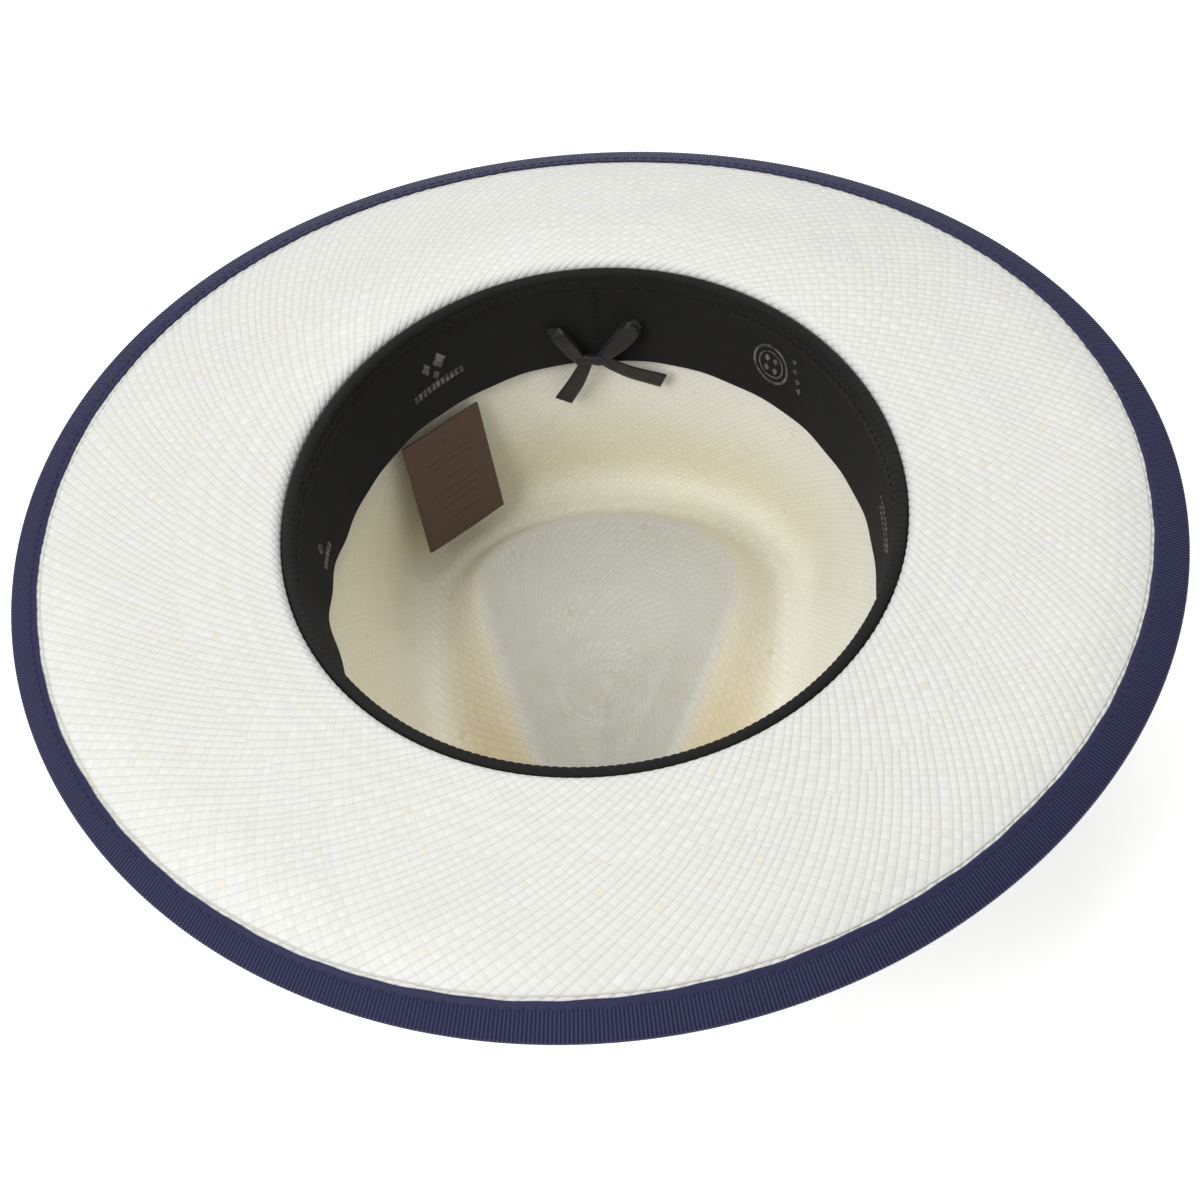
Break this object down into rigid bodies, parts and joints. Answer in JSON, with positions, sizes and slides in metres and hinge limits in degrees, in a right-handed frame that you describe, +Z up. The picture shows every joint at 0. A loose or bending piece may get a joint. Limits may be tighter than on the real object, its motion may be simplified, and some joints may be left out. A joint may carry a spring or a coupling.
{
  "type": "panama hat",
  "caption": "Woven straw panama hat lying on its crown, with a ribbon-bound brim, a cloth sweatband with a tied bow, and a hanging inside label.",
  "frame": {"origin": "middle of the bounding box's base, on the floor under the crown, with the hat lying on its crown", "axes": "+Z up out of the crown's opening, +Y towards the back of the hat, -X towards the wearer's left"},
  "size_m": [0.3216, 0.3332, 0.0898],
  "materials": {
    "straw": "woven plant fibre, off-white, slightly shiny strands",
    "grosgrain": "ribbed navy ribbon",
    "navy_thread": "matt sewing thread",
    "band_cloth": "matt black woven cloth",
    "black_thread": "matt sewing thread",
    "black_ribbon": "narrow satin ribbon",
    "label_cloth": "stiff brown woven label"
  },
  "bodies": {
    "hat": {"straw_body": "straw", "brim_binding": "grosgrain", "binding_stitching": "navy_thread", "sweatband": "band_cloth", "sweatband_reed": "band_cloth", "sweatband_stitching": "black_thread", "sweatband_seam_thread": "black_thread", "sweatband_bow": "black_ribbon", "label_tab": "label_cloth", "hatband": "grosgrain", "hatband_bow_tail": "grosgrain", "hatband_bow_loops": "grosgrain", "hatband_bow_keeper": "grosgrain"},
    "label": {"label_flap": "label_cloth"}
  },
  "joints": [
    {"name": "label_flip", "type": "hinge", "parent": "hat", "child": "label", "pos_m": [-0.04873, 0.07391, 0.04852], "axis": [-0.7124, -0.7009, 0.034], "range_deg": [0, 60]}
  ]
}
